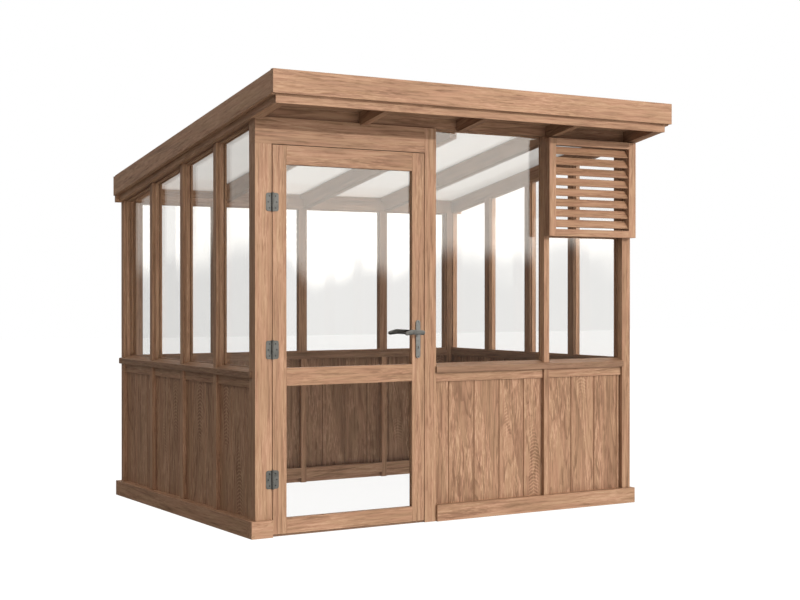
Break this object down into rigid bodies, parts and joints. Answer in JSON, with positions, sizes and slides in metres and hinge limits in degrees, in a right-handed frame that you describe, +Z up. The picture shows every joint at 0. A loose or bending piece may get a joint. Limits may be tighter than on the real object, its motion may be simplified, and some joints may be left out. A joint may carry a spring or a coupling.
{
  "type": "pent roof greenhouse",
  "caption": "Timber pent roof greenhouse with glazed walls over a boarded dado, a hinged glazed door with lever handles and a louvre vent.",
  "frame": {"origin": "on the ground under the middle of the whole outline", "axes": "+X to the right along the front wall as seen from the front, +Y from the front wall to the back wall, +Z up"},
  "size_m": [2.54, 2.198, 2.3152],
  "materials": {
    "frame_timber": "planed softwood with an oiled satin finish, grain along each member",
    "threshold_timber": "planed hardwood, darker and lightly worn",
    "roof_timber": "planed softwood with an oiled satin finish",
    "sill_timber": "planed softwood, weathered top face",
    "board_timber": "planed tongue and groove boards with cathedral grain",
    "fascia_timber": "planed softwood with an oiled satin finish",
    "bead_timber": "planed softwood beads",
    "louvre_timber": "planed softwood slats and frame",
    "door_timber": "planed softwood with an oiled satin finish",
    "roof_glass": "clear float glass",
    "wall_glass": "clear float glass",
    "pewter": "satin pewter lacquer on cast and pressed metal",
    "steel": "zinc plated steel"
  },
  "bodies": {
    "house": {"front_plinth": "frame_timber", "side_plinths": "frame_timber", "back_plinth": "frame_timber", "jamb_post": "frame_timber", "lock_post": "frame_timber", "front_right_post": "frame_timber", "front_mullion": "frame_timber", "vent_transom": "frame_timber", "door_header": "frame_timber", "front_wall_plate": "frame_timber", "back_wall_plate": "frame_timber", "side_studs": "frame_timber", "back_studs": "frame_timber", "front_rails": "frame_timber", "side_rails": "frame_timber", "back_rails": "frame_timber", "threshold": "threshold_timber", "eaves_blocking": "roof_timber", "rafters": "roof_timber", "glazing_bars": "roof_timber", "front_sill": "sill_timber", "side_sills": "sill_timber", "back_sill": "sill_timber", "front_boards": "board_timber", "side_boards": "board_timber", "back_boards": "board_timber", "front_fascia": "fascia_timber", "back_fascia": "fascia_timber", "side_fascias": "fascia_timber", "front_lower_fascia": "fascia_timber", "back_lower_fascia": "fascia_timber", "side_lower_fascias": "fascia_timber", "front_beads": "bead_timber", "side_beads": "bead_timber", "back_beads": "bead_timber", "door_stops": "bead_timber", "louvre_frame": "louvre_timber", "louvre_slats": "louvre_timber", "roof_panes": "roof_glass", "front_panes": "wall_glass", "side_panes": "wall_glass", "back_panes": "wall_glass", "hinge_fixed_leaves": "pewter", "hinge_pins": "pewter", "jamb_screws": "pewter", "strike_plate": "steel"},
    "door": {"hinge_stile": "door_timber", "lock_stile": "door_timber", "door_top_rail": "door_timber", "door_middle_rail": "door_timber", "door_bottom_rail": "door_timber", "door_panes": "wall_glass", "door_beads": "bead_timber", "hinge_moving_leaves": "pewter", "lock_case": "steel", "back_plates": "pewter", "door_screws": "pewter"},
    "lever_set": {"lever_handles": "pewter", "spindle": "steel"},
    "latch": {"latch_bolt": "steel"}
  },
  "joints": [
    {"name": "door_swing", "type": "hinge", "parent": "house", "child": "door", "pos_m": [-1.12375, -0.801, 0.9465], "axis": [0, 0, -1], "range_deg": [0, 135]},
    {"name": "lever_turn", "type": "hinge", "parent": "door", "child": "lever_set", "pos_m": [-0.2575, -0.775, 1.022], "axis": [0, -1, 0], "range_deg": [0, 35], "stiffness_Nm_per_rad": 2, "springref_deg": -17.19},
    {"name": "latch_slide", "type": "slide", "parent": "door", "child": "latch", "axis": [-1, 0, 0], "range_m": [0, 0.0025]}
  ],
  "couplings": [
    {"joint": "latch_slide", "follows": "lever_turn", "m_per_rad": 0.00409}
  ]
}
